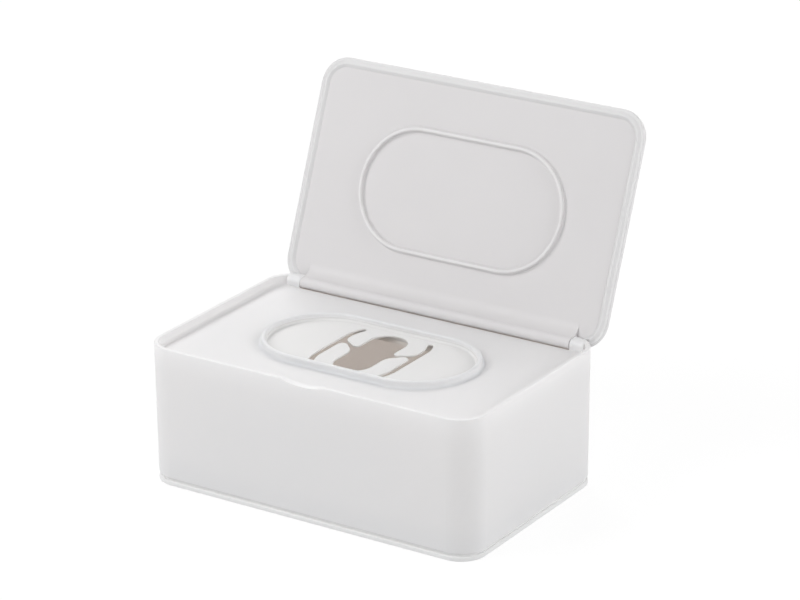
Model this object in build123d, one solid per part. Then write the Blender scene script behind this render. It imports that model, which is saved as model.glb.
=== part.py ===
from build123d import *
from math import atan2, degrees, radians, sqrt, tan
import os

# A baby wipes box that stands on four feet with its lid open. Millimetres, +Z up.
# +X runs to the right along the front, and +Y to the back, where the lid is hinged.
# The origin is the centre of the base, on the plane that the feet stand on.

# Case: four walls round a deck that lies below the rim
case_width = 190.0
case_depth = 121.4
case_corner = 14.2
case_draft = 0.45
rim_top = 73.6
wall = 2.4
rim_edge_radius = 0.6
deck_drop = 5.0
deck_thickness = 2.2
deck_edge_radius = 1.8
ceiling_radius = 1.5
wall_bottom = 4.4
wall_foot_radius = 0.5

# Finger notch in the front rim, an arc whose floor slopes outwards
notch_width = 28.0
notch_depth = 2.3
notch_slope = 14.0

# Collar round the mouth
mouth_y = -1.0
collar_half_length = 58.9
collar_half_width = 31.8
collar_wall = 2.3
collar_height = 3.7
collar_crest_radius = 0.9
collar_foot_radius = 1.5

# Openings of the mouth: a long hole, a slit on each side and a slanting neck that joins them
hole_width = 20.3
hole_length = 50.4
slit_x = 22.1
slit_width = 3.2
slit_bend_run = 10.0
slit_bend_in = 2.4
neck_apex = (22.2, 8.7)
neck_rear = (8.0, 0.2)
neck_front = (8.0, -5.5)
neck_reach_y = 10.0
front_tip_radius = 2.7
front_slope_radius = 8.0
rear_tip_radius = 2.0
rear_slope_radius = 6.0

# Flexible mouth insert, with a skirt up the collar's wall, and the ring that clamps it on six posts
flap_thickness = 0.9
flap_edge_radius = 0.3
insert_border = 2.0
skirt_thickness = 0.25
skirt_height = 1.6
skirt_crest_radius = 0.1
skirt_foot_radius = 1.2
flange_thickness = 1.2
flange_overlap = 4.0
retainer_thickness = 1.8
retainer_overlap = 9.4
post_x = 24.0
post_radius = 1.5
post_clearance = 0.1
post_head_radius = 2.5
post_head_height = 0.8

# Base tray: a flange with a shadow gap over it, and a lip that the case is pushed on to
flange_bottom = 0.3
flange_top = 2.9
flange_inset = 0.45
flange_edge_radius = 0.5
shoulder_radius = 1.0
step_inset = 1.6
tray_floor_top = 3.0
lip_top = 16.0
lip_thickness = 1.9
lip_clearance = 0.5
lip_edge_radius = 0.5

# Seal in the lip's groove
groove_bottom = 9.0
groove_height = 2.6
groove_depth = 1.1
seal_proud = 0.2
seal_play = 0.05

# Feet, each in a round recess
foot_x = 78.0
foot_y = 44.0
foot_radius = 7.0
foot_height = 1.1
foot_clearance = 0.1
foot_edge_radius = 0.25

# Hinge: a barrel on the lid's inner panel between two lugs of the case, over a trough
hinge_y = 57.15
hinge_z = 70.6
open_angle = 111.75
barrel_radius = 3.1
barrel_half_length = 80.1
leaf_thickness = 1.8
cove_radius = 8.0
cove_bite = 0.05
trough_half_length = 80.5
trough_front_y = 53.7
trough_floor = 66.8
trough_thickness = 2.0
lug_end_x = 88.4
lug_radius = 2.9
pin_radius = 1.0
pin_length = 11.0
pin_inner_x = 75.4
pin_chamfer = 0.2
pin_end_play = 0.3
pin_turning_clearance = 0.05
pin_press_clearance = 0.01

# Lid, as it lies when it is closed: a cover with a low bead round its rim, and an inner panel on a
# ledge in it
lid_width = 190.5
lid_length = 120.4
lid_corner = 14.8
lid_rear_y = 59.2
closing_gap = 0.2
lid_thickness = 5.2
lid_rim_width = 5.0
lid_rim_height = 0.9
lid_lower_radius = 0.6
lid_upper_radius = 3.0
bead_inset = 1.6
bead_slope = 1.4
bead_height = 0.7
ledge_width = 2.0
cover_thickness = 1.5
liner_thickness = 1.2
liner_clearance = 0.05

# Relief in the lid's rear corners, which swing past the case's rear wall: half length and radius
relief_steps = ((87.6, 5.0), (90.0, 4.2))

# Oval rib under the inner panel, with a soft strip in its groove that closes on the collar
rib_half_length = 60.3
rib_half_width = 32.3
rib_wall = 2.3
rib_height = 1.9
rib_crest_radius = 0.45
rib_foot_radius = 1.0
strip_inset = 0.55
strip_width = 1.2
strip_depth = 1.4
strip_proud = 0.26
strip_play = 0.03
strip_crest_radius = 0.25

overlap = 0.5
deck_top = rim_top - deck_drop
deck_bottom = deck_top - deck_thickness
mouth_half_length = collar_half_length - collar_wall
mouth_half_width = collar_half_width - collar_wall
clamp_top = deck_bottom - flange_thickness
clamp_bottom = clamp_top - retainer_thickness
lip_inset = wall + lip_clearance
lid_contact = rim_top + closing_gap
lid_flange = lid_contact + bead_height
lid_face = lid_contact + lid_rim_height
liner_top = lid_face + liner_thickness
lid_top = lid_contact + lid_thickness
rib_crest = lid_face - rib_height
lid_center_y = lid_rear_y - lid_length / 2


def block(x0, x1, y0, y1, z0, z1):
    center = ((x0 + x1) / 2, (y0 + y1) / 2, (z0 + z1) / 2)
    return Pos(*center) * Box(x1 - x0, y1 - y0, z1 - z0)


def post(x, y, radius, z0, z1):
    return Pos(x, y, (z0 + z1) / 2) * Cylinder(radius, z1 - z0)


def case_block(inset, z0, z1):
    outline = RectangleRounded(case_width - 2 * inset, case_depth - 2 * inset, case_corner - inset)
    return extrude(Pos(0, 0, z0) * outline, z1 - z0)


def case_hull(z0, z1):
    inset = (rim_top - z0) * tan(radians(case_draft))
    outline = RectangleRounded(case_width - 2 * inset, case_depth - 2 * inset, case_corner - inset)
    return extrude(Pos(0, 0, z0) * outline, z1 - z0, taper=-case_draft)


def lid_block(inset, z0, z1):
    outline = RectangleRounded(lid_width - 2 * inset, lid_length - 2 * inset, lid_corner - inset)
    return extrude(Pos(0, lid_center_y, z0) * outline, z1 - z0)


def lid_taper(inset, z0, z1, widening):
    outline = RectangleRounded(lid_width - 2 * inset, lid_length - 2 * inset, lid_corner - inset)
    angle = degrees(atan2(widening, z1 - z0))
    return extrude(Pos(0, lid_center_y, z0) * outline, z1 - z0, taper=-angle)


def oval_block(half_length, half_width, z0, z1):
    outline = SlotOverall(2 * half_length, 2 * half_width)
    return extrude(Pos(0, mouth_y, z0) * outline, z1 - z0)


def mouth_block(offset, z0, z1):
    return oval_block(mouth_half_length + offset, mouth_half_width + offset, z0, z1)


def axle(radius, side, inner_x, outer_x):
    middle_x = side * (inner_x + outer_x) / 2
    return Pos(middle_x, hinge_y, hinge_z) * Rot(0, 90, 0) * Cylinder(radius, outer_x - inner_x)


def edges_at(shape, z):
    return shape.edges().filter_by_position(Axis.Z, z - 0.001, z + 0.001)


def case_shell():
    shell = case_hull(wall_bottom, rim_top)
    shell = fillet(edges_at(shell, wall_bottom), wall_foot_radius)
    recess = case_block(wall, deck_top, rim_top + overlap)
    shell = shell - fillet(edges_at(recess, deck_top), deck_edge_radius)
    shell = fillet(edges_at(shell, rim_top), rim_edge_radius)
    chamber = case_block(wall, wall_bottom - overlap, deck_bottom)
    return shell - fillet(edges_at(chamber, deck_bottom), ceiling_radius)


def is_collar_foot(edge):
    center = edge.center()
    in_length = abs(center.X) < collar_half_length + overlap
    in_width = abs(center.Y - mouth_y) < collar_half_width + overlap
    return in_length and in_width


def add_collar(body):
    crest = deck_top + collar_height
    body = body + mouth_block(collar_wall, deck_bottom, crest)
    body = body - mouth_block(0, deck_bottom - overlap, crest + overlap)
    body = fillet(edges_at(body, crest), collar_crest_radius)
    return fillet(edges_at(body, deck_top).filter_by(is_collar_foot), collar_foot_radius)


def hinge_lug(side):
    inner_x, outer_x = sorted((side * trough_half_length, side * lug_end_x))
    front_y = hinge_y - lug_radius
    rear_y = case_depth / 2 - wall / 2
    lug = axle(lug_radius, side, trough_half_length, lug_end_x)
    lug = lug + block(inner_x, outer_x, hinge_y, rear_y, deck_bottom, hinge_z + lug_radius)
    lug = lug + block(inner_x, outer_x, front_y, hinge_y, deck_bottom, hinge_z)
    return lug & case_block(overlap, deck_bottom, rim_top)


def add_hinge_seat(body):
    end = trough_half_length + wall
    slab_bottom = trough_floor - trough_thickness
    rear = case_depth / 2
    body = body + block(-end, end, trough_front_y - trough_thickness, rear - overlap, slab_bottom, trough_floor)
    for side in (-1, 1):
        body = body + hinge_lug(side)
    end = trough_half_length
    body = body - block(-end, end, trough_front_y, rear + overlap, trough_floor, rim_top + overlap)
    bore_radius = pin_radius + pin_turning_clearance
    bore_end = pin_inner_x + pin_length + pin_end_play
    for side in (-1, 1):
        body = body - axle(bore_radius, side, trough_half_length - overlap, bore_end)
    return body


def finger_notch():
    radius = (notch_width**2 / 4 + notch_depth**2) / (2 * notch_depth)
    lowest_point = Pos(0, -case_depth / 2, rim_top - notch_depth)
    arc = Rot(90, 0, 0) * Cylinder(radius, 4 * wall)
    return lowest_point * Rot(notch_slope, 0, 0) * Pos(0, 0, radius) * arc


def post_places():
    middle = (flange_overlap + retainer_overlap) / 2
    ends = [(side * (mouth_half_length + middle), mouth_y) for side in (-1, 1)]
    reach = mouth_half_width + middle
    sides = [(x, mouth_y + y) for x in (-post_x, post_x) for y in (-reach, reach)]
    return ends + sides


def make_case_body():
    body = add_hinge_seat(add_collar(case_shell()))
    body = body - finger_notch()
    for x, y in post_places():
        body = body + post(x, y, post_radius, clamp_bottom, deck_bottom + overlap)
        body = body + post(x, y, post_head_radius, clamp_bottom - post_head_height, clamp_bottom)
    return body


def slit(side):
    half_run = (hole_length - slit_width) / 2
    front, rear = mouth_y - half_run, mouth_y + half_run
    straight_x = side * slit_x
    bent_x = side * (slit_x - slit_bend_in)
    straight_front = (straight_x, front + slit_bend_run)
    straight_rear = (straight_x, rear - slit_bend_run)
    path = [
        TangentArc(straight_front, (bent_x, front), tangent=(0, -1)),
        Line(straight_front, straight_rear),
        TangentArc(straight_rear, (bent_x, rear), tangent=(0, 1)),
    ]
    opening = trace(path, slit_width)
    for y in (front, rear):
        opening = opening + Pos(bent_x, y) * Circle(slit_width / 2)
    return opening


def neck(side):
    corners = [(side * x, y) for x, y in (neck_apex, neck_rear, neck_front)]
    return make_face(Polyline(*corners, close=True))


def round_neck(opening, edge_x, rear_corner, radius):
    for side in (-1, 1):
        beside_neck = opening.vertices().filter_by(
            lambda v: abs(v.X - side * edge_x) < slit_width / 10 and abs(v.Y) < neck_reach_y
        )
        corners = beside_neck.sort_by(Axis.Y)
        opening = fillet(corners[-1] if rear_corner else corners[0], radius)
    return opening


def mouth_openings():
    opening = Pos(0, mouth_y) * SlotOverall(hole_length, hole_width, 90)
    for side in (-1, 1):
        opening = opening + slit(side) + neck(side)
    slit_edge = slit_x - slit_width / 2
    hole_edge = hole_width / 2
    opening = round_neck(opening, slit_edge, False, front_tip_radius)
    opening = round_neck(opening, hole_edge, False, front_slope_radius)
    opening = round_neck(opening, slit_edge, True, rear_slope_radius)
    return round_neck(opening, hole_edge, True, rear_tip_radius)


def is_flap_edge(edge):
    center = edge.center()
    return abs(center.X) < slit_x + slit_width and abs(center.Y - mouth_y) < hole_length / 2 + overlap


def make_mouth_insert():
    crest = deck_top + skirt_height
    plate = mouth_block(0, deck_bottom, crest) - mouth_block(-skirt_thickness, deck_top, crest + overlap)
    plate = fillet(edges_at(plate, deck_top), skirt_foot_radius)
    plate = fillet(edges_at(plate, crest), skirt_crest_radius)
    flange = mouth_block(flange_overlap, clamp_top, deck_bottom)
    pocket = mouth_block(-insert_border, clamp_top - overlap, deck_top - flap_thickness)
    cut = extrude(Pos(0, 0, deck_bottom) * mouth_openings(), deck_thickness + overlap)
    insert = flange + plate - pocket - cut
    return fillet(edges_at(insert, deck_top).filter_by(is_flap_edge), flap_edge_radius)


def make_mouth_retainer():
    ring = mouth_block(retainer_overlap, clamp_bottom, clamp_top)
    ring = ring - mouth_block(-insert_border, clamp_bottom - overlap, clamp_top + overlap)
    for x, y in post_places():
        ring = ring - post(x, y, post_radius + post_clearance, clamp_bottom - overlap, clamp_top + overlap)
    return ring


def foot_places():
    return {
        "front_left": (-foot_x, -foot_y),
        "front_right": (foot_x, -foot_y),
        "rear_left": (-foot_x, foot_y),
        "rear_right": (foot_x, foot_y),
    }


def lip_ring(outer_inset, inner_inset, z0, z1):
    return case_block(outer_inset, z0, z1) - case_block(inner_inset, z0, z1)


def make_base_tray():
    flange = case_block(flange_inset, flange_bottom, flange_top)
    flange = fillet(edges_at(flange, flange_bottom), flange_edge_radius)
    tray = fillet(edges_at(flange, flange_top), shoulder_radius)
    tray = tray + case_block(step_inset, flange_top - overlap, wall_bottom)
    lip = case_block(lip_inset, wall_bottom - overlap, lip_top)
    tray = tray + fillet(edges_at(lip, lip_top), lip_edge_radius)
    tray = tray - case_block(lip_inset + lip_thickness, tray_floor_top, lip_top + overlap)
    groove_top = groove_bottom + groove_height
    tray = tray - lip_ring(lip_inset - overlap, lip_inset + groove_depth, groove_bottom, groove_top)
    for x, y in foot_places().values():
        tray = tray - post(x, y, foot_radius + foot_clearance, 0, foot_height)
    return tray


def make_base_seal():
    z0 = groove_bottom + seal_play
    z1 = groove_bottom + groove_height - seal_play
    return lip_ring(lip_inset - seal_proud, lip_inset + groove_depth - seal_play, z0, z1)


def make_foot(x, y):
    foot = post(x, y, foot_radius, 0, foot_height)
    return fillet(edges_at(foot, 0), foot_edge_radius)


def corner_relief():
    rear = lid_rear_y + overlap
    relief = None
    for half_length, radius in relief_steps:
        for side in (-1, 1):
            inner_x, outer_x = sorted((side * barrel_half_length, side * half_length))
            step = axle(radius, side, barrel_half_length, half_length)
            step = step + block(inner_x, outer_x, hinge_y, rear, lid_contact - overlap, hinge_z + radius)
            relief = step if relief is None else relief + step
    return relief


def make_lid_cover():
    cover = lid_block(0, lid_flange, lid_top)
    cover = fillet(edges_at(cover, lid_top), lid_upper_radius)
    cover = fillet(edges_at(cover, lid_flange), lid_lower_radius)
    cover = cover + lid_taper(bead_inset + bead_slope, lid_contact, lid_flange, bead_slope)
    cover = cover - lid_taper(lid_rim_width - bead_slope, lid_contact, lid_face, -bead_slope)
    cover = cover - lid_block(lid_rim_width, lid_contact - overlap, liner_top)
    cover = cover - lid_block(lid_rim_width + ledge_width, lid_face, lid_top - cover_thickness)
    end = barrel_half_length + liner_clearance
    front = lid_rear_y - lid_rim_width - overlap
    cover = cover - block(-end, end, front, lid_rear_y + overlap, lid_contact - overlap, liner_top)
    return cover - corner_relief()


def oval_ring(inset, width, z0, z1):
    outer = oval_block(rib_half_length - inset, rib_half_width - inset, z0, z1)
    inner = inset + width
    return outer - oval_block(rib_half_length - inner, rib_half_width - inner, z0 - overlap, z1 + overlap)


def is_rib_foot(edge):
    center = edge.center()
    return abs(center.X) < rib_half_length + overlap and abs(center.Y - mouth_y) < rib_half_width + overlap


def ribbed_panel():
    panel = lid_block(lid_rim_width + liner_clearance, lid_face, liner_top)
    panel = panel + oval_ring(0, rib_wall, rib_crest, lid_face + overlap)
    panel = fillet(edges_at(panel, lid_face).filter_by(is_rib_foot), rib_foot_radius)
    panel = fillet(edges_at(panel, rib_crest), rib_crest_radius)
    inset = strip_inset - strip_play
    return panel - oval_ring(inset, strip_width + 2 * strip_play, rib_crest - overlap, rib_crest + strip_depth)


def knuckle():
    # A cove leads from the panel's face down to the barrel and touches both
    end = barrel_half_length
    span = cove_radius + barrel_radius
    drop = cove_radius - (lid_face - hinge_z)
    reach = sqrt(span**2 - drop**2) - cove_bite
    foot_z = hinge_z - barrel_radius * drop / span
    web = block(-end, end, hinge_y - reach, hinge_y, foot_z, lid_face)
    hollow = Pos(0, hinge_y - reach, lid_face - cove_radius) * Rot(0, 90, 0)
    return web - hollow * Cylinder(cove_radius, 2 * end + overlap)


def make_lid_liner():
    end = barrel_half_length
    front = hinge_y - barrel_radius
    rear = hinge_y + leaf_thickness
    liner = ribbed_panel() + knuckle()
    liner = liner + block(-end, end, hinge_y, rear, hinge_z, lid_face)
    liner = liner + block(-end, end, front, rear, lid_face, liner_top)
    for side in (-1, 1):
        liner = liner + axle(barrel_radius, side, 0, end)
    for side in (-1, 1):
        liner = liner - axle(pin_radius + pin_press_clearance, side, pin_inner_x, end + overlap)
    return liner - corner_relief()


def make_lid_seal():
    crest = rib_crest - strip_proud
    strip = oval_ring(strip_inset, strip_width, crest, rib_crest + strip_depth - strip_play)
    return fillet(edges_at(strip, crest), strip_crest_radius)


def make_hinge_pin(side):
    pin = axle(pin_radius, side, pin_inner_x, pin_inner_x + pin_length)
    return chamfer(pin.edges().filter_by(GeomType.CIRCLE), pin_chamfer)


def opened(shape):
    hinge_axis = Axis((0, hinge_y, hinge_z), (1, 0, 0))
    return shape.rotate(hinge_axis, -open_angle)


def make_nodes():
    nodes = {
        "case_body": make_case_body(),
        "mouth_insert": make_mouth_insert(),
        "mouth_retainer": make_mouth_retainer(),
        "base_tray": make_base_tray(),
        "base_seal": make_base_seal(),
        "lid_cover": opened(make_lid_cover()),
        "lid_liner": opened(make_lid_liner()),
        "lid_seal": opened(make_lid_seal()),
        "hinge_pin_left": opened(make_hinge_pin(-1)),
        "hinge_pin_right": opened(make_hinge_pin(1)),
    }
    for place, (x, y) in foot_places().items():
        nodes[f"foot_{place}"] = make_foot(x, y)
    return nodes


os.makedirs("parts", exist_ok=True)
for name, shape in make_nodes().items():
    export_step(shape, f"parts/{name}.step")
    print(name, round(shape.volume, 1), shape.bounding_box())
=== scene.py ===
import math

import bmesh
import bpy
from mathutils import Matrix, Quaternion, Vector


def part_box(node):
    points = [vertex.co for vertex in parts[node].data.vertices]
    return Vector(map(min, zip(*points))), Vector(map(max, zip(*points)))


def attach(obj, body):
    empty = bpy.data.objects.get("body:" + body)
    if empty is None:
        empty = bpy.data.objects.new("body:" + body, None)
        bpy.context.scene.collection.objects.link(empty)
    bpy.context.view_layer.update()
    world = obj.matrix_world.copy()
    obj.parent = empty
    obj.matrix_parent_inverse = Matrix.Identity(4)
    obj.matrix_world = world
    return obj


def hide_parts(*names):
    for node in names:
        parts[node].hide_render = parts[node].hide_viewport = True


# Baby wipes box with its lid open. Metres, +Z up, +X to the right along the front.

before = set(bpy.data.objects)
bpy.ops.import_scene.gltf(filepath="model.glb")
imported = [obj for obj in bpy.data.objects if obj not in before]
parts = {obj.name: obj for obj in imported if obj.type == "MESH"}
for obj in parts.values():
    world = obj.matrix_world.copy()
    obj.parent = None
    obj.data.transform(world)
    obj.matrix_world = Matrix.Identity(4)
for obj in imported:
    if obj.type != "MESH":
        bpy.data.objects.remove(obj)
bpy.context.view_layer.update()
print("frame loaded:", len(parts), "pieces")


class Socket:
    # A socket of a node tree that takes part in ordinary maths
    def __init__(self, tree, socket):
        self.tree = tree
        self.socket = socket

    def maths(self, operation, first, second):
        return self.tree.add("Math", {"operation": operation}, {0: first, 1: second})

    def __add__(self, other):
        return self.maths("ADD", self, other)

    def __radd__(self, other):
        return self.maths("ADD", other, self)

    def __sub__(self, other):
        return self.maths("SUBTRACT", self, other)

    def __rsub__(self, other):
        return self.maths("SUBTRACT", other, self)

    def __mul__(self, other):
        return self.maths("MULTIPLY", self, other)

    def __rmul__(self, other):
        return self.maths("MULTIPLY", other, self)

    def __truediv__(self, other):
        return self.maths("DIVIDE", self, other)

    def __abs__(self):
        return self.maths("ABSOLUTE", self, 0.0)


class Tree:
    # A node tree, with one way to add any node to it
    def __init__(self, tree, family):
        self.tree = tree
        self.family = family
        tree.nodes.clear()

    def add(self, kind, settings=None, sockets=None, output=0):
        names = [family + kind for family in (self.family, "ShaderNode", "")]
        node = self.tree.nodes.new([name for name in names if hasattr(bpy.types, name)][0])
        for name, value in (settings or {}).items():
            setattr(node, name, value)
        for name, value in (sockets or {}).items():
            self.feed(self.find(node.inputs, name), value)
        return Socket(self, self.find(node.outputs, output)) if node.outputs else node

    def find(self, sockets, name):
        if isinstance(name, int):
            return sockets[name]
        named = [s for s in sockets if s.identifier == name] + [s for s in sockets if s.name == name]
        return named[0]

    def feed(self, target, value):
        for item in value if isinstance(value, list) else [value]:
            if isinstance(item, Socket):
                self.tree.links.new(item.socket, target)
            else:
                target.default_value = item


class Shader(Tree):
    # The tree of one material or of the world
    def __init__(self, tree):
        super().__init__(tree, "ShaderNode")

    def mixColour(self, factor, first, second):
        sockets = {"Factor_Float": factor, "A_Color": first, "B_Color": second}
        return self.add("Mix", {"data_type": "RGBA"}, sockets, "Result_Color")

    def most(self, first, second):
        return self.add("Math", {"operation": "MAXIMUM"}, {0: first, 1: second})

    def less(self, first, second):
        return self.add("Math", {"operation": "LESS_THAN"}, {0: first, 1: second})

    def ramp(self, value, low, high):
        sockets = {"Value": value, "From Min": low, "From Max": high}
        return self.add("MapRange", {"interpolation_type": "SMOOTHSTEP"}, sockets)

    def noise(self, place, size, detail=2.0):
        return self.add("TexNoise", {}, {"Vector": place, "Scale": 1 / size, "Detail": detail})

    def bump(self, height, strength, depth):
        return self.add("Bump", {}, {"Strength": strength, "Distance": depth, "Height": height})

    def place(self):
        return self.add("TexCoord", {}, {}, "Object")

    def axes(self, place):
        return [self.add("SeparateXYZ", {}, {"Vector": place}, i) for i in range(3)]

    def finish(self, surface, kind="OutputMaterial"):
        self.add(kind, {}, {"Surface": surface})


def newMaterial(name):
    material = bpy.data.materials.new(name)
    material.use_nodes = True
    return material, Shader(material.node_tree)


def scaled(colour, share):
    return tuple(c * share for c in colour[:3]) + (1.0,)


# Moulded plastics: a fine texture from the mould, slow changes of gloss and a faint flow of tone
plastics = {
    "caseWhite": {
        "colour": (0.90, 0.915, 0.935, 1.0),
        "roughness": 0.42,
        "grainSize": 0.00035,
        "grainDepth": 0.00001,
        "flowSize": 0.06,
        "through": 0.24,
        "chamberThrough": 0.72,
        "rubbed": True,
    },
    "lidWhite": {
        "colour": (0.73, 0.725, 0.728, 1.0),
        "roughness": 0.38,
        "grainSize": 0.0003,
        "grainDepth": 0.00001,
        "flowSize": 0.07,
    },
    "linerWhite": {
        "colour": (0.705, 0.69, 0.695, 1.0),
        "roughness": 0.5,
        "grainSize": 0.0004,
        "grainDepth": 0.000015,
        "flowSize": 0.08,
    },
    "trayWhite": {
        "colour": (0.80, 0.80, 0.80, 1.0),
        "roughness": 0.4,
        "grainSize": 0.0004,
        "grainDepth": 0.000012,
        "flowSize": 0.05,
        "marked": True,
    },
    # The retainer's own off-white, set lighter than the other whites as painted light, to lift the shade in
    # the pocket under the flaps
    "retainerLiftedWhite": {
        "colour": (0.92, 0.90, 0.87, 1.0),
        "roughness": 0.55,
        "grainSize": 0.0005,
        "grainDepth": 0.000015,
        "flowSize": 0.04,
    },
    "mouthElastomer": {
        "colour": (0.775, 0.77, 0.765, 1.0),
        "roughness": 0.6,
        "grainSize": 0.0005,
        "grainDepth": 0.00002,
        "flowSize": 0.03,
    },
    "sealSilicone": {
        "colour": (0.80, 0.79, 0.792, 1.0),
        "roughness": 0.5,
        "grainSize": 0.0006,
        "grainDepth": 0.00001,
        "flowSize": 0.03,
    },
}
throughColour = (0.95, 0.90, 0.86, 1.0)  # daylight that has come through a thin wall
# The chamber's inner faces lie inside this rounded outline, and below this height
chamber = {"cornerX": 0.0808, "cornerY": 0.0465, "cornerRadius": 0.013, "height": 0.0672}


def insideChamber(shader, place):
    # 1 on the faces that look into the chamber, and 0 on the outside of the case
    x, y, z = shader.axes(place)
    beyondX = shader.most(abs(x) - chamber["cornerX"], 0.0)
    beyondY = shader.most(abs(y) - chamber["cornerY"], 0.0)
    squared = beyondX * beyondX + beyondY * beyondY
    return shader.less(squared, chamber["cornerRadius"] ** 2) * shader.less(z, chamber["height"])


# Where fingers and the lid have polished the case: its rim, and most of all the finger notch
rub = {
    "rimHeight": 0.0733,
    "rimSpread": 0.0006,
    "notchHalfWidth": 0.016,
    "notchCore": 0.6,
    "notchFront": 0.0585,
    "notchFade": 0.002,
    "upperStart": 0.012,
    "upperEnd": 0.003,
    "gloss": 0.09,
}


def rimRub(shader, place):
    x, y, z = shader.axes(place)
    rim = shader.ramp(z, rub["rimHeight"] - rub["rimSpread"], rub["rimHeight"])
    halfWidth = rub["notchHalfWidth"]
    besideNotch = 1 - shader.ramp(abs(x), halfWidth * rub["notchCore"], halfWidth)
    front = shader.ramp(0.0 - y, rub["notchFront"], rub["notchFront"] + rub["notchFade"])
    upper = shader.ramp(z, rub["rimHeight"] - rub["upperStart"], rub["rimHeight"] - rub["upperEnd"])
    return shader.most(rim, besideNotch * front * upper)


# Rings that the mould's ejector pins and its gate leave on the tray: x and y of the middle, and radius
mouldRings = (
    (0.0, 0.0, 0.0022),
    (-0.06, 0.03, 0.0035),
    (0.06, 0.03, 0.0035),
    (-0.06, -0.03, 0.0035),
    (0.06, -0.03, 0.0035),
)
ringLine = 0.00018

# What all the plastics share
moulding = {
    "flowShade": 0.975,
    "flowGloss": 0.08,
    "grainGloss": 0.06,
    "handledSize": 0.014,
    "handledFrom": 0.45,
    "handledTo": 0.75,
    "handledGloss": 0.04,
    "markShade": 0.88,
    "markDepth": 6.0,
    "bumpStrength": 0.5,
    "ior": 1.49,
}


def mouldMarks(shader, place):
    # 1 along each ring's line, and 0 elsewhere
    x, y, z = shader.axes(place)
    marks = 0.0
    for middleX, middleY, radius in mouldRings:
        offset = shader.add("CombineXYZ", {}, {"X": x - middleX, "Y": y - middleY})
        reach = shader.add("VectorMath", {"operation": "LENGTH"}, {0: offset}, "Value")
        line = 1 - shader.ramp(abs(reach - radius), 0.0, ringLine)
        marks = shader.most(line, marks)
    return marks


def plasticMaterial(name):
    values = plastics[name]
    material, shader = newMaterial(name)
    place = shader.place()
    flow = shader.noise(place, values["flowSize"], 1.0)
    grain = shader.noise(place, values["grainSize"])
    handled = shader.noise(place, moulding["handledSize"], 3.0)
    handled = shader.ramp(handled, moulding["handledFrom"], moulding["handledTo"])
    colour = shader.mixColour(flow, values["colour"], scaled(values["colour"], moulding["flowShade"]))
    roughness = values["roughness"] + moulding["flowGloss"] * (flow - 0.5)
    roughness = roughness + moulding["grainGloss"] * (grain - 0.5) - moulding["handledGloss"] * handled
    height = grain
    if values.get("rubbed"):
        roughness = roughness - rub["gloss"] * rimRub(shader, place)
    if values.get("marked"):
        marks = mouldMarks(shader, place)
        colour = shader.mixColour(marks, colour, scaled(values["colour"], moulding["markShade"]))
        height = height - moulding["markDepth"] * marks
    normal = shader.bump(height, moulding["bumpStrength"], values["grainDepth"])
    surface = shader.add("BsdfPrincipled", {}, {
        "Base Color": colour,
        "Roughness": roughness,
        "Normal": normal,
        "IOR": moulding["ior"],
    })
    if "through" in values:
        extra = values["chamberThrough"] - values["through"]
        share = values["through"] + extra * insideChamber(shader, place)
        glow = shader.add("BsdfTranslucent", {}, {"Color": throughColour})
        surface = shader.add("MixShader", {}, {0: share, 1: surface, 2: glow})
    shader.finish(surface)
    return material


rubber = {
    "colour": (0.30, 0.30, 0.31, 1.0),
    "roughness": 0.8,
    "roughnessSwing": 0.1,
    "grainSize": 0.0007,
    "grainDepth": 0.00004,
    "bumpStrength": 0.6,
    "dustSize": 0.004,
    "dustShade": 0.8,
}


def rubberMaterial():
    material, shader = newMaterial("footRubber")
    place = shader.place()
    grain = shader.noise(place, rubber["grainSize"], 3.0)
    dust = shader.noise(place, rubber["dustSize"])
    colour = shader.mixColour(dust, rubber["colour"], scaled(rubber["colour"], rubber["dustShade"]))
    normal = shader.bump(grain, rubber["bumpStrength"], rubber["grainDepth"])
    surface = shader.add("BsdfPrincipled", {}, {
        "Base Color": colour,
        "Roughness": rubber["roughness"] + rubber["roughnessSwing"] * (grain - 0.5),
        "Normal": normal,
    })
    shader.finish(surface)
    return material


steel = {
    "colour": (0.62, 0.62, 0.63, 1.0),
    "roughness": 0.28,
    "roughnessSwing": 0.15,
    "lineSize": 0.0002,
    "lineDepth": 0.00001,
    "lineShade": 0.85,
    "bumpStrength": 0.3,
}


def steelMaterial():
    material, shader = newMaterial("pinSteel")
    x = shader.axes(shader.place())[0]
    rings = shader.add("CombineXYZ", {}, {"X": x})
    lines = shader.noise(rings, steel["lineSize"], 3.0)
    normal = shader.bump(lines, steel["bumpStrength"], steel["lineDepth"])
    surface = shader.add("BsdfPrincipled", {}, {
        "Base Color": shader.mixColour(lines, steel["colour"], scaled(steel["colour"], steel["lineShade"])),
        "Metallic": 1.0,
        "Roughness": steel["roughness"] + steel["roughnessSwing"] * (lines - 0.5),
        "Normal": normal,
    })
    shader.finish(surface)
    return material


finishes = {
    "case_body": "caseWhite",
    "mouth_insert": "mouthElastomer",
    "mouth_retainer": "retainerLiftedWhite",
    "base_tray": "trayWhite",
    "base_seal": "sealSilicone",
    "lid_cover": "lidWhite",
    "lid_liner": "linerWhite",
    "lid_seal": "sealSilicone",
    "foot_front_left": "footRubber",
    "foot_front_right": "footRubber",
    "foot_rear_left": "footRubber",
    "foot_rear_right": "footRubber",
    "hinge_pin_left": "pinSteel",
    "hinge_pin_right": "pinSteel",
}

materials = {name: plasticMaterial(name) for name in plastics}
materials["footRubber"] = rubberMaterial()
materials["pinSteel"] = steelMaterial()
for node, finish in finishes.items():
    part = parts[node]
    part.data.materials.clear()
    part.data.materials.append(materials[finish])
print("finishes given to", len(finishes), "pieces")


def addObject(name, data):
    item = bpy.data.objects.new(name, data)
    bpy.context.scene.collection.objects.link(item)
    return item


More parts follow.
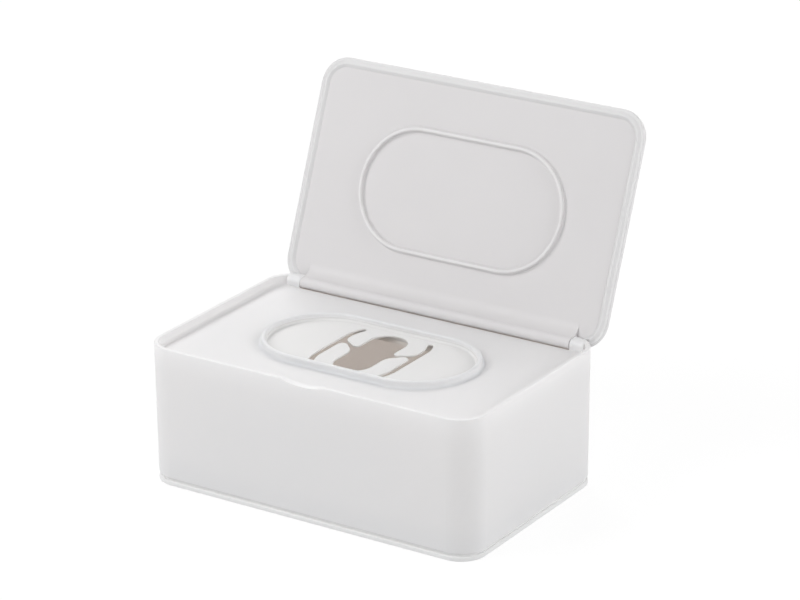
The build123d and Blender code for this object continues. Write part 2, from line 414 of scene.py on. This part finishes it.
def pieceByNodes(name, start, build, sizes, finish):
    # A geometry tree with named inputs grows the piece from a starting mesh, and it is kept as a plain mesh
    group = bpy.data.node_groups.new(name, "GeometryNodeTree")
    tree = Tree(group, "GeometryNode")
    kinds = {int: "NodeSocketInt", float: "NodeSocketFloat"}
    group.interface.new_socket("start", in_out="INPUT", socket_type="NodeSocketGeometry")
    sockets = {}
    for key, value in sizes.items():
        sockets[key] = group.interface.new_socket(key, in_out="INPUT", socket_type=kinds[type(value)])
    group.interface.new_socket("shape", in_out="OUTPUT", socket_type="NodeSocketGeometry")
    given = group.nodes.new("NodeGroupInput")
    inputs = {socket.name: Socket(tree, socket) for socket in given.outputs if socket.name}
    shape = tree.add("RealizeInstances", {}, {"Geometry": build(tree, inputs)})
    shape = tree.add("SetMaterial", {}, {"Geometry": shape, "Material": materials[finish]})
    tree.add("NodeGroupOutput", {}, {0: shape})
    maker = addObject(name + "Maker", start)
    modifier = maker.modifiers.new("shape", "NODES")
    modifier.node_group = group
    for key, socket in sockets.items():
        modifier[socket.identifier] = sizes[key]
    evaluated = maker.evaluated_get(bpy.context.evaluated_depsgraph_get())
    mesh = bpy.data.meshes.new_from_object(evaluated)
    bpy.data.objects.remove(maker)
    return addObject(name, mesh)


def middle(node):
    low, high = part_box(node)
    return [(a + b) / 2 for a, b in zip(low, high)]


# Feet: a moulded disc with a raised ring round a recess full of small pips, which stand level with the ring
feet = ("foot_front_left", "foot_front_right", "foot_rear_left", "foot_rear_right")
foot = {
    "radius": 0.007,
    "height": 0.0011,
    "edge": 0.00025,
    "ringWidth": 0.0013,
    "recess": 0.00035,
    "segments": 72,
}
pips = {
    "pipRadius": 0.00055,
    "pipHeight": 0.00035,
    "innerCount": 6,
    "innerRing": 0.0018,
    "outerCount": 13,
    "outerRing": 0.0039,
    "pipSegments": 16,
    "pipRings": 8,
}


def inFixedOrder(elements, placeOf):
    # Spinning and merging leave a different order each run, so it is set by place
    ordered = sorted(elements, key=lambda element: tuple(round(c, 8) for c in placeOf(element)))
    for number, element in enumerate(ordered):
        element.index = number
    elements.sort()


def makeFoot(node):
    x, y, z = middle(node)
    radius, top, edge = foot["radius"], foot["height"], foot["edge"]
    inner = radius - foot["ringWidth"]
    recess = foot["recess"]
    outline = [
        (0.0, top), (radius, top), (radius, edge), (radius - 0.3 * edge, 0.3 * edge), (radius - edge, 0.0),
        (inner, 0.0), (inner - recess / 2, recess / 3), (inner - recess, recess), (0.0, recess),
    ]
    lathe = bmesh.new()
    corners = [lathe.verts.new((x + across, y, up)) for across, up in outline]
    for first, second in zip(corners, corners[1:]):
        lathe.edges.new((first, second))
    bmesh.ops.spin(
        lathe,
        geom=lathe.verts[:] + lathe.edges[:],
        cent=(x, y, 0.0),
        axis=(0.0, 0.0, 1.0),
        angle=2 * math.pi,
        steps=foot["segments"],
    )
    bmesh.ops.remove_doubles(lathe, verts=lathe.verts, dist=0.000001)
    inFixedOrder(lathe.verts, lambda corner: corner.co)
    inFixedOrder(lathe.faces, lambda face: face.calc_center_median())
    bmesh.ops.recalc_face_normals(lathe, faces=lathe.faces)
    mesh = bpy.data.meshes.new(node + "Moulded")
    lathe.to_mesh(mesh)
    lathe.free()
    mesh.materials.append(materials["footRubber"])
    piece = addObject(node + "Moulded", mesh)
    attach(piece, "base")
    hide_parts(node)


def growPips(tree, sizes):
    dome = tree.add("MeshUVSphere", {}, {
        "Segments": sizes["pipSegments"],
        "Rings": sizes["pipRings"],
        "Radius": sizes["pipRadius"],
    })
    flat = tree.add("CombineXYZ", {}, {"X": 1.0, "Y": 1.0, "Z": sizes["pipHeight"] / sizes["pipRadius"]})
    dome = tree.add("Transform", {}, {"Geometry": dome, "Scale": flat})
    sole = [dome]
    for ring in ("inner", "outer"):
        count, reach = sizes[ring + "Count"], sizes[ring + "Ring"]
        circle = tree.add("MeshCircle", {}, {"Vertices": count, "Radius": reach})
        sole.append(tree.add("InstanceOnPoints", {}, {"Points": circle, "Instance": dome}))
    sole = tree.add("JoinGeometry", {}, {"Geometry": sole})
    return tree.add("InstanceOnPoints", {}, {"Points": sizes["start"], "Instance": sole})


def makePips():
    places = bpy.data.meshes.new("solePlaces")
    places.from_pydata([middle(node)[:2] + [pips["pipHeight"]] for node in feet], [], [])
    piece = pieceByNodes("soleGrips", places, growPips, pips, "footRubber")
    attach(piece, "base")


# Base seal: a silicone ring in the tray's groove, swept along it, with two round lips for the case's wall
sealLow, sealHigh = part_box("base_seal")
baseSeal = {
    "length": 2 * sealHigh[0],
    "width": 2 * sealHigh[1],
    "height": sealHigh[2] - sealLow[2],
    "corner": 0.0115,
    "depth": 0.00125,
    "lipRadius": 0.00042,
    "lipSpacing": 0.0013,
    "cornerSteps": 16,
    "lipSteps": 20,
}


def growSeal(tree, sizes):
    def path(inset):
        # The ring's outline, this far in from its outermost line
        frameCurve = tree.add("CurvePrimitiveQuadrilateral", {}, {
            "Width": sizes["length"] - 2 * inset,
            "Height": sizes["width"] - 2 * inset,
        })
        return tree.add("FilletCurve", {"mode": "POLY"}, {
            "Curve": frameCurve,
            "Count": sizes["cornerSteps"],
            "Radius": sizes["corner"] - inset,
        })

    lip = sizes["lipRadius"]
    circle = tree.add("CurvePrimitiveCircle", {}, {"Resolution": sizes["lipSteps"], "Radius": lip})
    bead = tree.add("CurveToMesh", {}, {"Curve": path(lip), "Profile Curve": circle})
    strip = tree.add("CurvePrimitiveQuadrilateral", {}, {
        "Width": sizes["depth"] - lip,
        "Height": sizes["height"],
    })
    spine = path((sizes["depth"] + lip) / 2)
    shapes = [tree.add("CurveToMesh", {}, {"Curve": spine, "Profile Curve": strip})]
    for side in (-0.5, 0.5):
        lift = tree.add("CombineXYZ", {}, {"Z": side * sizes["lipSpacing"]})
        shapes.append(tree.add("Transform", {}, {"Geometry": bead, "Translation": lift}))
    ring = tree.add("JoinGeometry", {}, {"Geometry": shapes})
    up = tree.add("CombineXYZ", {}, {"Z": sizes["level"]})
    return tree.add("Transform", {}, {"Geometry": ring, "Translation": up})


def makeBaseSeal():
    sizes = dict(baseSeal, level=(sealLow[2] + sealHigh[2]) / 2)
    start = bpy.data.meshes.new("sealStart")
    piece = pieceByNodes("baseSealLipped", start, growSeal, sizes, "sealSilicone")
    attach(piece, "base")
    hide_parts("base_seal")


for node in feet:
    makeFoot(node)
makePips()
makeBaseSeal()
print("feet moulded, soles gripped and base seal swept")

studio = {
    "floorSize": 8.0,
    "floorColour": (0.4, 0.4, 0.4, 1.0),
    "floorGlow": 0.405,
    "floorShadow": 0.3,
    "floorWhite": 1.12,
}


def seenDirectly(shader):
    # 1 where the camera, a reflection or glass sees the surface, and 0 where it only lights others
    names = ("Is Camera Ray", "Is Glossy Ray", "Is Transmission Ray")
    camera, glossy, transmission = [shader.add("LightPath", {}, {}, name) for name in names]
    return shader.add("Math", {"operation": "MINIMUM"}, {0: camera + glossy + transmission, 1: 1.0})


def makeFloor():
    mesh = bpy.data.meshes.new("floor")
    grid = bmesh.new()
    bmesh.ops.create_grid(grid, x_segments=1, y_segments=1, size=studio["floorSize"] / 2)
    grid.to_mesh(mesh)
    grid.free()
    floor = addObject("floor", mesh)
    material, shader = newMaterial("floorWhite")
    matt = shader.add("BsdfDiffuse", {}, {"Color": studio["floorColour"]})
    glow = shader.add("Emission", {}, {"Color": (1.0, 1.0, 1.0, 1.0), "Strength": studio["floorGlow"]})
    lit = shader.add("AddShader", {}, {0: matt, 1: glow})
    white = shader.add("Emission", {}, {"Color": (1.0, 1.0, 1.0, 1.0), "Strength": studio["floorWhite"]})
    share = seenDirectly(shader) * (1 - studio["floorShadow"])
    shader.finish(shader.add("MixShader", {}, {0: share, 1: lit, 2: white}))
    mesh.materials.append(material)


def makeWorld():
    world = bpy.data.worlds.new("studioWorld")
    bpy.context.scene.world = world
    world.use_nodes = True
    shader = Shader(world.node_tree)
    light = shader.add("Background", {}, {"Color": (1.0, 1.0, 1.0, 1.0), "Strength": seenDirectly(shader)})
    shader.finish(light, "OutputWorld")


# Square soft lamps round the box: degrees round it from the front, degrees up, metres away, and watts
lamps = {
    "frontLeft": {"turn": -45.0, "rise": 45.0, "distance": 2.0, "power": 20.8},
    "frontLow": {"turn": -20.0, "rise": 15.0, "distance": 2.0, "power": 12.2},
    "right": {"turn": 90.0, "rise": 30.0, "distance": 2.0, "power": 20.0},
    "rightLow": {"turn": 115.0, "rise": 15.0, "distance": 2.0, "power": 6.5},
    "backLeft": {"turn": -135.0, "rise": 45.0, "distance": 2.0, "power": 15.0},
    "backRight": {"turn": 155.0, "rise": 30.0, "distance": 2.0, "power": 5.0},
}
lampRig = {"aim": (0.0, 0.0, 0.06), "sizeShare": 0.6}


def direction(turn, rise):
    # From the box towards something that stands turn degrees round it and rise degrees up
    turn, rise = math.radians(turn), math.radians(rise)
    return Vector((math.sin(turn) * math.cos(rise), -math.cos(turn) * math.cos(rise), math.sin(rise)))


def makeLamp(name):
    values = lamps[name]
    light = bpy.data.lights.new(name, "AREA")
    light.shape = "SQUARE"
    light.size = values["distance"] * lampRig["sizeShare"]
    light.energy = values["power"]
    lamp = addObject(name, light)
    outwards = direction(values["turn"], values["rise"])
    lamp.location = Vector(lampRig["aim"]) + outwards * values["distance"]
    lamp.rotation_mode = "QUATERNION"
    lamp.rotation_quaternion = (-outwards).to_track_quat("-Z", "Y")


viewpoint = {
    "aim": (0.016736, 0.0, 0.099562),
    "distance": 1.72643,
    "turn": 33.094,
    "rise": 21.228,
    "roll": -0.4125,
    "lens": 159.82,
    "sensor": 36.0,
}


def makeCamera():
    back = direction(viewpoint["turn"], viewpoint["rise"])
    data = bpy.data.cameras.new("camera")
    data.lens = viewpoint["lens"]
    data.sensor_width = viewpoint["sensor"]
    camera = addObject("camera", data)
    camera.location = Vector(viewpoint["aim"]) + back * viewpoint["distance"]
    camera.rotation_mode = "QUATERNION"
    level = (-back).to_track_quat("-Z", "Y")
    camera.rotation_quaternion = level @ Quaternion((0, 0, 1), math.radians(viewpoint["roll"]))
    bpy.context.scene.camera = camera


makeFloor()
makeWorld()
for name in lamps:
    makeLamp(name)
makeCamera()
bpy.context.scene.view_settings.view_transform = "Standard"
print("studio set up with", len(lamps), "lamps")
